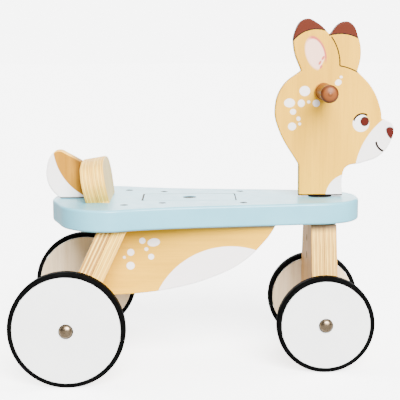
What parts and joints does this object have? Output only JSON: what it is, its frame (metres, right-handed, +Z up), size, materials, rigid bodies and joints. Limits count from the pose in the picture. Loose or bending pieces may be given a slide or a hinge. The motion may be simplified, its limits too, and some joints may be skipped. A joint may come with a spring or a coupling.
{
  "type": "toddler's wooden ride-on",
  "caption": "Wooden deer-shaped toddler ride-on: shaped seat board with a lidded belly compartment, low backrest, steered head with side grips, rubber-tyred wheels.",
  "frame": {"origin": "on the floor, under the middle of the ride-on's length and width", "axes": "+X forward to the head, +Y to the rider's left, +Z up"},
  "size_m": [0.5418, 0.316, 0.4939],
  "materials": {
    "blue_paint": "pale blue satin paint on board",
    "white_paint": "white satin paint on board",
    "fawn_plywood": "fawn tinted plywood, satin lacquer",
    "tan_plywood": "tan tinted plywood, satin lacquer",
    "birch_plywood": "clear satin lacquer",
    "beech": "turned and oiled",
    "tyre_rubber": "matt black rubber",
    "steel": "zinc plated",
    "nylon": "white nylon"
  },
  "bodies": {
    "seat_frame": {"seat_board": "blue_paint", "belly_panel_left": "fawn_plywood", "belly_panel_right": "fawn_plywood", "belly_floor": "birch_plywood", "belly_front_board": "birch_plywood", "rear_leg_front_board": "birch_plywood", "rear_leg_rear_board": "birch_plywood", "backrest_front_board": "birch_plywood", "backrest_rear_board": "birch_plywood", "tail_board": "tan_plywood", "upper_bush": "nylon", "lower_bush": "nylon", "leg_bolt_left": "steel", "leg_bolt_right": "steel", "leg_nut_left": "steel", "leg_nut_right": "steel", "belly_bolt_rear_left": "steel", "belly_bolt_rear_right": "steel", "belly_bolt_front_left": "steel", "belly_bolt_front_right": "steel", "belly_nut_rear_left": "steel", "belly_nut_rear_right": "steel", "belly_nut_front_left": "steel", "belly_nut_front_right": "steel", "backrest_screw_left": "steel", "backrest_screw_right": "steel", "rear_axle": "steel", "rear_washer_left": "nylon", "rear_washer_right": "nylon", "rear_hub_cap_left": "steel", "rear_hub_cap_right": "steel"},
    "lid": {"compartment_lid": "blue_paint"},
    "steering": {"head_board": "fawn_plywood", "handle_rod": "birch_plywood", "grip_left": "beech", "grip_right": "beech", "steering_shaft": "steel", "stop_pin": "steel", "neck_pin": "steel", "shaft_screw_1": "steel", "shaft_screw_2": "steel", "front_leg_front_board": "birch_plywood", "front_leg_rear_board": "birch_plywood", "front_axle": "steel", "front_washer_left": "nylon", "front_washer_right": "nylon", "front_hub_cap_left": "steel", "front_hub_cap_right": "steel"},
    "rear_left_wheel": {"rear_wheel_left": "white_paint", "rear_tyre_left": "tyre_rubber", "rear_wheel_bush_left": "nylon"},
    "rear_right_wheel": {"rear_wheel_right": "white_paint", "rear_tyre_right": "tyre_rubber", "rear_wheel_bush_right": "nylon"},
    "front_left_wheel": {"front_wheel_left": "white_paint", "front_tyre_left": "tyre_rubber", "front_wheel_bush_left": "nylon"},
    "front_right_wheel": {"front_wheel_right": "white_paint", "front_tyre_right": "tyre_rubber", "front_wheel_bush_right": "nylon"}
  },
  "joints": [
    {"name": "steer", "type": "hinge", "parent": "seat_frame", "child": "steering", "pos_m": [0.16634, 0, 0.238], "axis": [0, 0, 1], "range_deg": [-30, 30]},
    {"name": "rear_left_roll", "type": "hinge", "parent": "seat_frame", "child": "rear_left_wheel", "pos_m": [-0.19066, 0.143, 0.08], "axis": [0, 1, 0], "continuous": true},
    {"name": "rear_right_roll", "type": "hinge", "parent": "seat_frame", "child": "rear_right_wheel", "pos_m": [-0.19066, -0.143, 0.08], "axis": [0, 1, 0], "continuous": true},
    {"name": "front_left_roll", "type": "hinge", "parent": "steering", "child": "front_left_wheel", "pos_m": [0.16634, 0.0837, 0.069], "axis": [0, 1, 0], "continuous": true},
    {"name": "front_right_roll", "type": "hinge", "parent": "steering", "child": "front_right_wheel", "pos_m": [0.16634, -0.0837, 0.069], "axis": [0, 1, 0], "continuous": true},
    {"name": "lid_lift", "type": "slide", "parent": "seat_frame", "child": "lid", "axis": [0, 0, 1], "range_m": [0, 0.12]}
  ]
}
